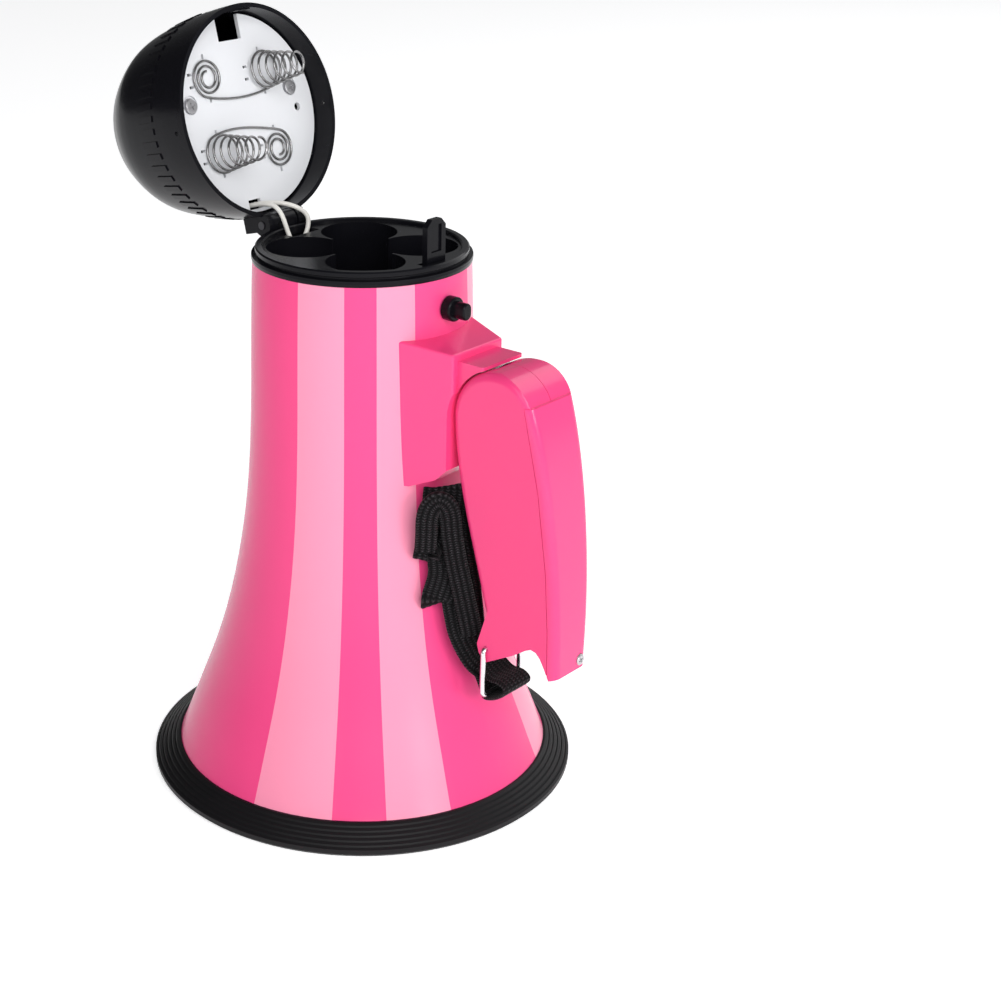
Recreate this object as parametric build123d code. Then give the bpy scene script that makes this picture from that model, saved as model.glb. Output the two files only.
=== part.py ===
from build123d import *
import os
from math import cos, hypot, pi, radians, sin, tan

os.makedirs("parts", exist_ok=True)

# Frame: the centre of the bell mouth on the floor is the origin, +Z runs up the horn
# axis, +X points to the handle, and -X to the hinge of the battery lid. Millimetres.

# Horn
wall = 2.0
horn_curve = [(72.9, 3.0), (70.3, 8.2), (64.7, 22.0), (56.2, 44.0), (47.8, 74.0),
              (42.0, 112.0), (39.7, 165.0), (38.7, 196.0)]       # radius, height
ring_groove_count = 5

# Collar and battery compartment
collar_top = 201.0
flange_r = 39.0
bead_r = 37.7
lip_r = 34.8
deck_top = 199.9
deck_t = 2.0
bay_centre_r = 20.0
bay_r = 13.8
bay_wall = 1.5
bay_floor = 145.0
floor_t = 2.0

# Battery lid, drawn closed and then swung open about its hinge
lid_open_angle = 104.5
hinge_x = -39.8
hinge_z = 202.2
rim_z = collar_top + 0.3
rim_r = 38.0
lid_depth = 54.6
lid_wall = 1.6
lid_curve = [(0.0, 38.0), (13.6, 37.4), (27.3, 35.6), (41.0, 32.2), (49.0, 27.6)]   # depth, radius
lid_end_r = 20.5
plate_r = 35.4
plate_t = 1.6
plate_recess = 8.5
plate_z = rim_z + plate_recess
rib_count = 52
rib_width = 2.2
rib_proud = 0.45
rib_span = (rim_z + 16.5, rim_z + 25.0)
screw_well = (6.5, 25.0)
clip_slots = [(7.6, 0, 0.9, 0.5), (-7.6, 0, 0.9, 0.5), (2.2, -7.8, 0.45, 1.0), (-2.2, -7.8, 0.45, 1.0)]

# Contacts on the lid plate
contact_wire_r = 0.45
upper_cone = (13.9, 12.4)
upper_flat = (14.6, -14.8)
lower_cone = (-12.2, -15.6)
lower_flat = (-14.6, 13.0)
coil_r = 7.0
coil_tip_r = 3.7
coil_length = 20.5
coil_turns = 6

# Bracket and handle
bracket_back_half = 19.4
bracket_front_half = 13.3
bracket_front_x = 52.9
bracket_top = 177.0
tongue_half = 10.8
tongue_x = 63.7
tongue_top = 171.9
pivot_x = 70.5
pivot_z = 152.5
hub_r = 19.0
saddle_r = 19.4
arm_half = 5.0
pin_r = 2.5
handle_top_half = 12.7
handle_end_half = 9.0
shell_t = 2.1
seam = 0.12
cover_top = 162.4
bracket_screw_places = [(-7.0, 137.0), (7.0, 137.0), (-7.0, 167.0), (7.0, 167.0)]       # y, z
handle_screw_places = [(80.0, 142.0), (84.0, 92.0), (66.4, 93.0)]                       # x, z

# Trigger, in the inner face of the handle
trigger_at = (56.7, 0.0, 116.0)
trigger_lean = 14.0
trigger_travel = 3.0

# Strap ring and strap
ring_x = 66.8
ring_z = 68.0
ring_half = 10.6
ring_drop = 18.0
ring_wire_r = 1.0
strap_width = 15.0

# Latch and selector
latch_x = 32.7
latch_pivot_z = 193.0
latch_tip_z = 215.4
latch_t = 2.2
latch_w = 9.6
selector_z = 185.5

# Microphone leads: 1.7 mm wire, each from the lid plate down into the compartment
lead_r = 0.85
lead_a = [(-50.6, -5.0, 206.9), (-41.5, -5.0, 209.6), (-34.6, -5.2, 208.2),
          (-31.2, -4.6, 199.0), (-28.9, -1.4, 188.5)]
lead_b = [(-50.6, -2.2, 206.9), (-41.8, -1.6, 209.2), (-34.8, 1.6, 208.6), (-32.4, 7.4, 204.4),
          (-31.8, 5.4, 197.6), (-31.9, -1.0, 192.2), (-31.9, -3.8, 186.5)]


def cyl(radius, height, at, direction):
    """A cylinder that starts at a point and runs along a direction."""
    return Plane(origin=at, z_dir=direction) * Cylinder(
        radius, height, align=(Align.CENTER, Align.CENTER, Align.MIN))


def block(x0, x1, y0, y1, z0, z1):
    """A box between two corners."""
    return Pos((x0 + x1) / 2, (y0 + y1) / 2, (z0 + z1) / 2) * Box(x1 - x0, y1 - y0, z1 - z0)


def turned(points):
    """A closed polygon of radius and height, turned about the horn axis."""
    return revolve(Plane.XZ * make_face(Polyline(*points, close=True)), Axis.Z)


def across(radius, x, z, y0, y1):
    """A cylinder along Y between two places."""
    return cyl(radius, y1 - y0, (x, y0, z), (0, 1, 0))


def opened(shape):
    """Swings a closed lid piece to the open pose."""
    return shape.rotate(Axis((hinge_x, 0, hinge_z), (0, -1, 0)), lid_open_angle)


def horn_solid(shrink):
    """The horn's outer surface, closed, with its radius made smaller by shrink."""
    outer = [(r - shrink, z) for r, z in horn_curve]
    low, high = outer[0], outer[-1]
    edges = Spline(*outer) + Polyline(high, (0, high[1]), (0, low[1]), low)
    return revolve(Plane.XZ * make_face(edges), Axis.Z)


def make_horn():
    horn = horn_solid(0) - horn_solid(wall)
    horn -= cyl(2.6, 12, (34, 0, selector_z), (1, 0, 0))
    for y, z in bracket_screw_places:
        horn -= cyl(1.9, 20, (30, y, z), (1, 0, 0))
    horn -= cyl(3.0, 12, (34, 0, 146), (1, 0, 0))       # the handle's lead passes here
    return horn


def make_bell_ring(horn):
    low_edge = (80.0, 3.2)
    top_edge = (70.9, 8.9)
    step = 1.0 / (ring_groove_count + 0.6)
    dx, dz = top_edge[0] - low_edge[0], top_edge[1] - low_edge[1]
    run = hypot(dx, dz)
    slope = []
    for i in range(ring_groove_count):
        for along, deep in ((0.55, 0.0), (0.68, 0.7), (0.84, 0.7), (0.97, 0.0)):
            t = (i + along) * step
            slope.append((low_edge[0] + (dx * t + deep * dz / run), low_edge[1] + (dz * t + deep * dx / run)))
    outline = [(67.6, 0.0), (78.6, 0.0), (80.0, 1.4), low_edge] + slope + [top_edge, (69.2, 8.9), (67.6, 5.6)]
    ring = revolve(Plane.XZ * make_face(Polyline(*outline, close=True)), Axis.Z)
    return ring - horn


def make_collar():
    outline = [(35.6, 188.5), (36.5, 188.5), (36.5, 196.0), (38.9, 196.0), (flange_r + 0.1, 197.1),
               (flange_r, 198.1), (37.3, 198.3), (37.3, 198.9), (bead_r, 199.2), (bead_r, 200.5),
               (37.2, collar_top), (35.3, collar_top), (lip_r, 200.6), (lip_r, deck_top), (35.6, deck_top)]
    collar = turned(outline)
    for side in (-1, 1):
        low = min(side * 5.2, side * 10.0)
        collar -= across(4.5, hinge_x, hinge_z, low, low + 4.8)
    knuckle = across(3.6, hinge_x, hinge_z, -5.0, 5.0) + block(-42.0, -38.0, -5.0, 5.0, 197.2, hinge_z)
    collar += knuckle - turned([(0, 180), (36.6, 180), (36.6, 230), (0, 230)])
    return collar - across(1.5, hinge_x, hinge_z, -11, 11)


def bay_places():
    return [(sx * bay_centre_r * cos(radians(45)), sy * bay_centre_r * sin(radians(45)))
            for sx, sy in ((1, 1), (1, -1), (-1, 1), (-1, -1))]


def make_tub():
    tub = cyl(35.5, deck_t, (0, 0, deck_top - deck_t), (0, 0, 1))
    tub += cyl(35.0, floor_t, (0, 0, bay_floor - floor_t), (0, 0, 1))
    for x, y in bay_places():
        tub += cyl(bay_r + bay_wall, deck_top - bay_floor, (x, y, bay_floor), (0, 0, 1))
    for side in (-1, 1):
        low = min(side * 5.3, side * 7.0)
        tub += block(30.6, 34.8, low, low + 1.7, 190.5, deck_top - deck_t)
    for angle in (0, 120, 240):
        x, y = 25 * cos(radians(angle)), 25 * sin(radians(angle))
        tub += cyl(2.6, 6.0, (x, y, bay_floor - floor_t - 6.0), (0, 0, 1))
        tub -= cyl(1.1, 7.0, (x, y, bay_floor - floor_t - 6.5), (0, 0, 1))
    for x, y in bay_places():
        tub -= cyl(bay_r, 70, (x, y, bay_floor), (0, 0, 1))
    centre = bay_centre_r * cos(radians(45))
    tub -= block(-centre, centre, -centre, centre, bay_floor, 205)     # the four bays are open to each other
    tub -= block(29.8, 35.1, -5.3, 5.3, 195, 205)          # the latch comes up here
    tub -= block(-34.4, -27.0, -7.0, 7.0, 190, 205)        # the microphone leads go down here
    tub -= across(1.06, latch_x, latch_pivot_z, -8, 8)
    tub -= block(9.9, 18.5, -8.0, 8.0, bay_floor, bay_floor + 0.8)      # the link passes under the walls
    for y in (-14.1, 14.1):
        tub -= block(-16.0, -12.4, y - 0.4, y + 0.4, bay_floor - 3, bay_floor + 1)
    return tub


def make_tub_link():
    strip = block(10.1, 18.3, -18.5, 18.5, bay_floor, bay_floor + 0.5)
    for y in (-14.1, 14.1):
        strip += cyl(2.4, 1.0, (14.1, y, bay_floor), (0, 0, 1))
    return strip


def make_tub_terminals():
    both = []
    for y in (-14.1, 14.1):
        tab = block(-18.3, -10.1, y - 5.0, y + 5.0, bay_floor, bay_floor + 0.5)
        tab += block(-15.8, -12.6, y - 0.3, y + 0.3, 137.2, bay_floor + 0.3)
        both.append(tab)
    return both


def make_board():
    board = cyl(29.0, 1.6, (0, 0, 135.4), (0, 0, 1))
    for angle in (0, 120, 240):
        board -= cyl(1.3, 4, (25 * cos(radians(angle)), 25 * sin(radians(angle)), 134), (0, 0, 1))
    return board


def make_board_parts():
    parts = [block(-6, 6, -4, 4, 132.4, 135.4), block(9, 12, -12, 12, 125.4, 135.4)]
    for x, y, r, h in ((-14, 8, 5.0, 9.0), (-15, -7, 4.0, 8.0), (0, 15, 3.2, 6.0), (3, -14, 3.2, 6.0)):
        parts.append(cyl(r, h, (x, y, 135.4 - h), (0, 0, 1)))
    return parts


def make_board_screws():
    screws = []
    for angle in (0, 120, 240):
        x, y = 25 * cos(radians(angle)), 25 * sin(radians(angle))
        screws.append(cyl(2.2, 1.4, (x, y, 134.0), (0, 0, 1)) + cyl(1.1, 7.5, (x, y, 135.2), (0, 0, 1)))
    return screws


def make_driver_plate(horn):
    plate = cyl(40.4, 2.5, (0, 0, 118.0), (0, 0, 1)) - horn
    plate = plate.solids().sort_by(SortBy.VOLUME)[-1]
    return plate - cyl(3, 10, (30.5, 12, 112), (0, 0, 1))


def make_driver_case():
    case = turned([(0, 118), (30, 118), (30, 99), (28, 97), (25.4, 97), (25.4, 101.2), (27.5, 101.2),
                   (27.5, 115.5), (0, 115.5)])
    return case


def make_magnet():
    return turned([(0, 115.5), (22, 115.5), (22, 107.5), (12.5, 107.5), (12.5, 105.5), (0, 105.5)])


def make_diaphragm():
    dome = turned([(0, 103.9), (9, 103.2), (13.2, 101.9), (17, 103.0), (22, 101.5), (27.3, 101.5),
                   (27.3, 102.2), (22, 102.2), (17, 103.7), (13.2, 102.6), (9, 103.9), (0, 104.6)])
    return dome


def make_throat():
    outer = [(25.2, 100.9), (25.2, 97.4), (10.5, 93.5), (8.0, 86.0), (8.6, 70.0), (10.6, 56.0), (14.4, 45.0)]
    inner = [(12.9, 45.0), (9.0, 56.0), (7.0, 70.0), (6.4, 86.0), (7.0, 97.5), (16.0, 100.9)]
    return turned(outer + inner)


def make_reflector(horn):
    section = [(0, 24.0), (9, 25.2), (18, 30.0), (24, 39.0), (27, 52.0), (28, 70.0),
               (26.2, 70.0), (25.2, 52.0), (22.3, 40.5), (17, 33.0), (9.5, 29.6), (5.5, 33.5), (0, 47.0)]
    cup = turned(section)
    for angle in (60, 180, 300):
        strut = block(26.6, 49.0, -1.3, 1.3, 56.0, 68.0)
        cup += strut.rotate(Axis.Z, angle)
    cup -= horn
    return cup.solids().sort_by(SortBy.VOLUME)[-1]


def bracket_form(inset):
    """The bracket's outside, or with an inset the space inside it."""
    back, front = bracket_back_half - inset, bracket_front_half - inset
    face_x = bracket_front_x - inset
    plan = Polyline((28, -back - 1.9), (35, -back), (face_x, -front), (face_x, front), (35, back),
                    (28, back + 1.9), close=True)
    form = extrude(make_face(plan), 80)
    top = bracket_top - inset
    side = Polyline((20, 124.6 + inset), (38, 124.8 + inset), (47.2 - inset, 128.6 + inset),
                    (51.4 - inset, 133.0 + inset), (face_x, 140), (face_x + 1, 140),
                    (face_x + 1, top - 2.7), (34, top), (20, top), close=True)
    return Pos(0, 0, 110) * form & (Plane.XZ * extrude(make_face(side), 40, both=True))


def make_bracket():
    body = bracket_form(0)
    upright = body.edges().filter_by(Axis.Z).sort_by(Axis.X)[-2:]
    body = round_off(body, upright, 1.2)
    top_edges = [e for e in body.edges() if e.center().Z > 173.5 and e.center().X > 35]
    top_edges = [e for e in top_edges if abs(e.center().Y) > 8]
    body = round_off(body, top_edges, 0.9)
    tongue = block(44, tongue_x, -tongue_half, tongue_half, 150, tongue_top)
    tongue = fillet(tongue.edges().group_by(Axis.X)[-1].filter_by(Axis.Z), 1.0)
    body += tongue
    body -= across(saddle_r, pivot_x, pivot_z, -30, 30)
    body -= bracket_form(2.4) & block(0, 50.0, -30, 30, 100, 176) - across(22.0, pivot_x, pivot_z, -30, 30)
    for y, z in bracket_screw_places:
        body += cyl(3.6, 14, (36, y, z), (1, 0, 0)) & bracket_form(0.5)
    body -= across(saddle_r, pivot_x, pivot_z, -30, 30)
    body -= block(pivot_x - hub_r - 0.5, 90, -30, 30, 100, pivot_z)
    arm = block(46.0, pivot_x, -arm_half, arm_half, 138.6, 147.4)
    arm += across(6.4, pivot_x, pivot_z, -arm_half, arm_half)
    arm += block(pivot_x - 6.4, pivot_x + 5.6, -arm_half, arm_half, 143.0, pivot_z) & across(
        14.5, pivot_x, pivot_z, -arm_half, arm_half)
    body += arm & block(46.0, 80, -20, 20, 100, 170)
    body -= horn_solid(0)
    body = body.solids().sort_by(SortBy.VOLUME)[-1]
    for y, z in bracket_screw_places:
        body -= cyl(1.5, 12.5, (35, y, z), (1, 0, 0))
    return body - across(pin_r, pivot_x, pivot_z, -20, 20)


def make_bracket_screws():
    return [cyl(2.8, 2.0, (34.2, y, z), (1, 0, 0)) + cyl(1.5, 11.2, (36.0, y, z), (1, 0, 0))
            for y, z in bracket_screw_places]


def side_outline(start, inner, bottom, outer, finish, far, crown, near):
    """A side view of the folded handle: down the inner edge, along the bottom, up the front, over the hub."""
    edges = Spline(start, *inner, bottom[0], tangents=[(0, -1), (0.3, -1)])
    edges += Polyline(*bottom)
    edges += Spline(bottom[-1], *outer, finish, tangents=[(0, 1), (-0.35, 1)])
    edges += ThreePointArc(finish, far, crown)
    edges += ThreePointArc(crown, near, start)
    return make_face(edges)


def handle_body(outline, top, end):
    """An outline given its width, which narrows from the hub to the foot."""
    front = Polyline((-top, 172), (-end, 58), (end, 58), (top, 172), close=True)
    return Plane.XZ * extrude(outline, 20, both=True) & Plane.YZ * extrude(make_face(front), 120)


def handle_outside():
    outline = side_outline(
        start=(pivot_x - hub_r, pivot_z),
        inner=[(52.3, 140.0), (55.2, 122.3), (60.5, 101.0)],
        bottom=[(66.3, 79.5), (62.8, 69.0), (63.6, 65.6), (66.6, 62.6), (78.6, 69.4), (84.4, 73.4),
                (86.4, 74.4), (88.6, 74.0), (90.4, 72.2), (92.2, 69.0), (94.2, 64.8), (97.0, 65.6)],
        outer=[(97.0, 82.0), (95.8, 105.0), (92.2, 133.0)],
        finish=(84.9, 162.1),
        far=(78.6, 169.6),
        crown=(pivot_x, pivot_z + hub_r),
        near=(pivot_x - hub_r * cos(radians(45)), pivot_z + hub_r * sin(radians(45))))
    return handle_body(outline, handle_top_half, handle_end_half)


def handle_inside():
    bend = hub_r - shell_t
    outline = side_outline(
        start=(pivot_x - bend, pivot_z),
        inner=[(54.4, 140.2), (57.3, 122.8), (62.6, 101.6)],
        bottom=[(68.5, 79.5), (69.6, 71.4), (77.8, 71.6), (83.6, 75.8), (86.2, 77.0),
                (89.6, 76.6), (92.2, 73.8), (94.6, 71.0)],
        outer=[(94.9, 82.0), (93.7, 104.8), (90.1, 132.8)],
        finish=(82.8, 160.6),
        far=(77.4, 167.4),
        crown=(pivot_x, pivot_z + bend),
        near=(pivot_x - bend * cos(radians(45)), pivot_z + bend * sin(radians(45))))
    return handle_body(outline, handle_top_half - shell_t, handle_end_half - shell_t)


def cover_region(gap):
    """The space that the front cover of the handle fills."""
    edge = [(82.2, cover_top), (85.4, 148.0), (88.6, 133.0), (92.2, 105.0), (93.4, 82.0), (93.4, 60.0)]
    side = Polyline((120, 60), (120, cover_top - gap), *[(x + gap, min(z, cover_top - gap)) for x, z in edge],
                    close=True)
    return Plane.XZ * extrude(make_face(side), 30, both=True)


def make_handle():
    form = handle_outside()
    form = round_off(form, [e for e in form.edges() if abs(e.center().Y) > 7 and e.length > 20], 3.2)
    ledge = ThreePointArc((84.0, 162.5), (78.3, 169.0), (69.0, 171.5))
    ledge += Polyline((69.0, 171.5), (70, 180), (95, 180), (95, 162.5), (84.0, 162.5))
    form -= Plane.XZ * extrude(make_face(ledge), 20, both=True)
    hollow = handle_inside()
    slot = Plane.XZ * extrude(make_face(Polyline(
        (pivot_x - 3.6, pivot_z + 1), (pivot_x - 5.2, pivot_z + 22), (pivot_x - 24, pivot_z + 22),
        (pivot_x - 24, pivot_z - 15), (pivot_x - 13.6, pivot_z - 15), (pivot_x, pivot_z - 12), close=True)),
        arm_half + 0.4, both=True)
    bosses = across(7.2, pivot_x, pivot_z, -12, 12) + across(3.4, ring_x, ring_z, -9, 9)
    for x, z in handle_screw_places:
        bosses += across(3.2, x, z, -12, 12)
    bosses += trigger_plane() * (Pos(0, 0, -16.6) * Box(15, 22, 6.6))
    shell = form - hollow + (bosses & form)
    shell -= slot
    shell -= across(7.4, pivot_x, pivot_z, -arm_half - 0.4, arm_half + 0.4)
    shell -= across(pin_r + 0.05, pivot_x, pivot_z, -10.6, 10.6)
    shell -= across(ring_wire_r + 0.05, ring_x, ring_z, -15, 15)
    shell -= trigger_plane() * (Pos(0, 0, -1) * Box(23.0, 12.4, 6.4))
    shell -= trigger_plane() * (Pos(0, 0, -17.0) * Box(13.2, 6.6, 8.0))
    for x, z in handle_screw_places:
        shell -= across(1.5, x, z, -6.0, 20) + across(3.0, x, z, 7.6, 20)
    shell -= cyl(2.1, 3, (96.1, 5.2, 69.0), (1, 0, 0)) + cyl(1.0, 8, (92.0, 5.2, 69.0), (1, 0, 0))
    return shell


def round_off(form, edges, radius):
    """Rounds the edges one by one, so that a hard corner leaves the others rounded."""
    try:
        return fillet(edges, radius)
    except ValueError:
        return form


def trigger_plane():
    lean = radians(trigger_lean)
    return Plane(origin=trigger_at, x_dir=(sin(lean), 0, -cos(lean)), z_dir=(-cos(lean), 0, -sin(lean)))


def make_trigger():
    key = Pos(0, 0, -1.6) * Box(22.2, 11.6, 10.8)
    key = fillet(key.faces().sort_by(Axis.Z)[-1].edges(), 2.2)
    key += Pos(0, 0, -4.4) * Box(25.0, 13.8, 1.6)
    key -= Pos(0, 0, -3.9) * Cylinder(3.1, 10.2)
    key += Pos(4.5, 0, -8.5) * Cylinder(1.2, 3.4)
    return trigger_plane() * key


def make_trigger_spring():
    coil = Helix(pitch=1.6, height=10.4, radius=2.4)
    spring = sweep(Plane(origin=coil @ 0, z_dir=coil % 0) * Circle(0.28), path=coil)
    return trigger_plane() * (Pos(0, 0, -12.6) * spring)


def make_talk_switch():
    body = Pos(0, 0, -17.0) * Box(12.8, 6.2, 6.4)
    return trigger_plane() * body


def make_handle_screws():
    return [across(2.7, x, z, 7.7, 9.3) + across(1.4, x, z, -5.8, 8.0) for x, z in handle_screw_places]


def make_cover_screw():
    return cyl(1.9, 0.9, (96.2, 5.2, 69.0), (1, 0, 0)) + cyl(1.0, 4.2, (92.2, 5.2, 69.0), (1, 0, 0))


def make_strap_ring():
    outline = Plane(origin=(ring_x, 0, ring_z - ring_drop / 2), x_dir=(0, 1, 0), z_dir=(1, 0, 0)) * \
        RectangleRounded(2 * ring_half, ring_drop, 1.4)
    path = outline.faces()[0].outer_wire()
    start = Plane(origin=path @ 0, z_dir=path % 0)
    return sweep(start * Circle(ring_wire_r), path=path, transition=Transition.RIGHT)


def make_strap_tab():
    half = strap_width / 2 + 0.3
    bar_z = ring_z - ring_drop
    tab = across(2.5, ring_x, bar_z, -half, half)
    lean = Plane(origin=(ring_x, 0, bar_z), x_dir=(0, 1, 0), z_dir=(-0.62, 0, 0.78))
    tab += lean * (Pos(0, 0, 4.2) * Box(2 * half, 2.8, 8.4))
    loop = Plane(origin=(ring_x, 0, bar_z), x_dir=(0, 1, 0), z_dir=(0.94, 0, 0.34))
    tab += loop * (Pos(0, 0, 2.8) * Box(2 * half, 3.6, 5.6)) + across(1.8, 72.1, 51.9, -half, half)
    return tab - across(ring_wire_r + 0.02, ring_x, bar_z, -half - 1, half + 1)


def make_wrist_strap():
    """The folded strap as one bundle: centre, across direction and thickness at each height."""
    stations = [((57.6, -5.2, 63.6), (0.15, 0.99), 3.4), ((54.6, -8.6, 72.0), (0.38, 0.92), 4.2),
                ((50.4, -10.9, 86.0), (0.6, 0.8), 4.8), ((46.8, -11.6, 102.0), (0.6, 0.8), 4.8),
                ((45.2, -12.4, 114.0), (0.6, 0.8), 4.6), ((44.6, -12.7, 121.4), (0.6, 0.8), 3.4)]
    sections = []
    for centre, (ax, ay), thick in stations:
        place = Plane(origin=centre, x_dir=(ax, ay, 0), z_dir=(0, 0, 1))
        sections.append(place * RectangleRounded(strap_width, thick, 1.2))
    return loft(sections)


def make_latch():
    half_t, half_w = latch_t / 2, latch_w / 2
    tongue = block(latch_x - half_t, latch_x + half_t, -half_w, half_w, 191.6, latch_tip_z)
    tongue = chamfer(tongue.faces().sort_by(Axis.Z)[-1].edges().filter_by(Axis.X), 2.4)
    tongue -= block(latch_x + 0.4, latch_x + 2, -2.6, 2.6, 204.0, 213.5)
    tongue += across(1.0, latch_x, latch_pivot_z, -6.4, 6.4) + across(1.9, latch_x, latch_pivot_z, -4.8, 4.8)
    return tongue


def make_selector():
    knob = cyl(4.3, 3.6, (39.6, 0, selector_z), (1, 0, 0)) + cyl(2.2, 6.0, (34.6, 0, selector_z), (1, 0, 0))
    knob = round_off(knob, knob.edges().filter_by(GeomType.CIRCLE).sort_by(Axis.X)[-1:], 0.7)
    lever = Plane(origin=(40.6, 0, selector_z), x_dir=(0, 1, 0), z_dir=(1, 0, 0)) * extrude(
        SlotOverall(6.0, 4.4, rotation=90), 7.4)
    lever = fillet(lever.faces().sort_by(Axis.X)[-1].edges(), 0.6)
    return knob + lever


def make_selector_switch():
    body = block(29.0, 35.8, -4.4, 4.4, selector_z - 4.6, selector_z + 2.8)
    return body - cyl(2.26, 4, (33.4, 0, selector_z), (1, 0, 0))


def lid_surface(inset):
    """The dome of the lid as a closed body."""
    points = [(radius - inset, rim_z + depth) for depth, radius in lid_curve]
    top = rim_z + lid_depth - inset
    end = (lid_end_r - inset, top)
    back = Spline(*points, end, tangents=[(0, 1), (-1, 0.12)])
    edges = back + Line(end, (0, top)) + Line((0, top), (0, rim_z)) + Line((0, rim_z), points[0])
    return revolve(Plane.XZ * make_face(edges), Axis.Z)


def make_lid():
    lid = lid_surface(0) - lid_surface(lid_wall)
    skin = (lid_surface(-rib_proud) - lid_surface(0.5)) & block(0, 50, -5, 5, *rib_span)
    rib = skin & block(20, 50, -rib_width / 2, rib_width / 2, *rib_span)
    lid += [Rot(0, 0, i * 360 / rib_count) * rib for i in range(rib_count)]
    catch = block(35.6, 37.2, -6.2, 6.2, rim_z + 1.6, rim_z + plate_recess)
    lid += catch
    for y in (-screw_well[1], screw_well[1]):
        lid += cyl(3.1, 40, (screw_well[0], y, plate_z + plate_t), (0, 0, 1)) & lid_surface(0.8)
    seat_z = plate_z + plate_t
    shelf = turned([(33.6, seat_z), (36.4, seat_z), (36.4, seat_z + 3), (35.4, seat_z + 3)])
    lid += shelf - block(20, 40, -6, 6, 200, 230)
    end_z = rim_z + lid_depth
    lid += cyl(15.0, 2.6, (0, 0, end_z - 3.8), (0, 0, 1))
    lid += cyl(7.4, 6.4, (0, 0, end_z - 10.0), (0, 0, 1))
    lid -= cyl(12.6, 5, (0, 0, end_z - 1.7), (0, 0, 1))
    lid -= cyl(5.1, 8.0, (0, 0, end_z - 11.0), (0, 0, 1))
    lid -= cyl(3.0, 12.0, (0, 0, end_z - 10.0), (0, 0, 1))
    lid -= across(4.1, hinge_x, hinge_z, -5.4, 5.4)
    lugs = across(4.0, hinge_x, hinge_z, -9.6, 9.6) + block(-42.2, -36.6, -9.6, 9.6, hinge_z, hinge_z + 9.0)
    lugs -= block(-50, -30, -5.4, 5.4, 190, hinge_z + 4.6)
    lugs -= lid_surface(lid_wall)
    lugs -= cyl(36.6, 20, (0, 0, rim_z - 10), (0, 0, 1))
    lid += lugs
    for y in (-screw_well[1], screw_well[1]):
        lid -= cyl(1.2, 20, (screw_well[0], y, plate_z), (0, 0, 1))
    lid -= across(1.55, hinge_x, hinge_z, -12, 12)
    for side in (-1, 1):
        lid -= cyl(0.8, 5, (-2.0, side * 35.0, rim_z + 4.2), (0, side, 0))
    return lid


def contact_places():
    return [upper_cone, upper_flat, lower_cone, lower_flat]


def make_plate():
    plate = cyl(plate_r, plate_t, (0, 0, plate_z), (0, 0, 1))
    plate -= block(26.2, 40, -5.6, 5.6, plate_z - 1, plate_z + 4)
    plate -= block(-34.2, -30.6, -6.6, -0.6, plate_z - 1, plate_z + 4)
    for x, y in contact_places():
        for ax, ay, dx, dy in clip_slots:
            slot_x, slot_y = x + ax, y + ay
            plate -= block(slot_x - dx, slot_x + dx, slot_y - dy, slot_y + dy, plate_z - 1, plate_z + 4)
    for y in (-screw_well[1], screw_well[1]):
        plate -= cyl(3.4, 1.0, (screw_well[0], y, plate_z), (0, 0, 1))
        plate -= cyl(1.4, 4, (screw_well[0], y, plate_z - 1), (0, 0, 1))
    return plate - cyl(1.5, 4, (-1.4, 27.2, plate_z - 1), (0, 0, 1))


def make_plate_screws():
    screws = []
    for y in (-screw_well[1], screw_well[1]):
        head = cyl(2.5, 0.9, (screw_well[0], y, plate_z + 0.05), (0, 0, 1))
        screws.append(head + cyl(1.15, 9, (screw_well[0], y, plate_z + 0.9), (0, 0, 1)))
    return screws


def contact_points(cone, flat, side):
    """One wire: a cone of turns, a straight link and a flat spiral. Side says where the link runs."""
    seat = plate_z - contact_wire_r - 0.1
    steps = 10
    points = []
    turn = -side if cone[1] < flat[1] else side
    count = coil_turns * steps
    base = 0 if side > 0 else 180
    for i in range(count + 1):
        t = 1 - i / count
        radius = coil_r - (coil_r - coil_tip_r) * t
        angle = radians(base + turn * 360 * coil_turns * t)
        height = seat - coil_length * t ** 1.2
        points.append((cone[0] + radius * cos(angle), cone[1] + radius * sin(angle), height))
    flat_turns = 2.5
    flat_count = int(flat_turns * steps)
    for i in range(flat_count + 1):
        t = i / flat_count
        radius = coil_r - 4.6 * t
        angle = radians(base - turn * 360 * flat_turns * t)
        points.append((flat[0] + radius * cos(angle), flat[1] + radius * sin(angle), seat))
    return points


def make_contact(cone, flat, side):
    path = Spline(*contact_points(cone, flat, side))
    return sweep(Plane(origin=path @ 0, z_dir=path % 0) * Circle(contact_wire_r), path=path)


def make_grille():
    top = rim_z + lid_depth
    disc = cyl(12.4, 1.6, (0, 0, top - 1.6), (0, 0, 1))
    for count, radius in ((1, 0), (6, 3.6), (12, 7.2)):
        for i in range(count):
            angle = radians(i * 360 / count)
            disc -= cyl(0.9, 6, (radius * cos(angle), radius * sin(angle), top - 4), (0, 0, 1))
    return disc


def make_mic():
    top = rim_z + lid_depth
    return cyl(5.0, 5.8, (0, 0, top - 8.9), (0, 0, 1))


def rounded_route(points):
    """Straight runs joined by tangent arcs as large as the shorter run allows."""
    radii = []
    for before, here, after in zip(points, points[1:], points[2:]):
        a = Vector(*here) - Vector(*before)
        b = Vector(*after) - Vector(*here)
        half_turn = radians(a.get_angle(b)) / 2
        radii.append(0.45 * min(a.length, b.length) / tan(half_turn))
    print("radii", [round(r, 1) for r in radii])
    return FilletPolyline(*points, radius=radii)


def make_lead(points):
    path = rounded_route(points)
    lead = sweep(Plane(origin=path @ 0, z_dir=path % 0) * Circle(lead_r), path=path)
    ratio = lead.volume / (path.length * pi * lead_r ** 2)
    print("length", round(path.length, 1), "volume ratio", round(ratio, 3))
    return lead


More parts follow.
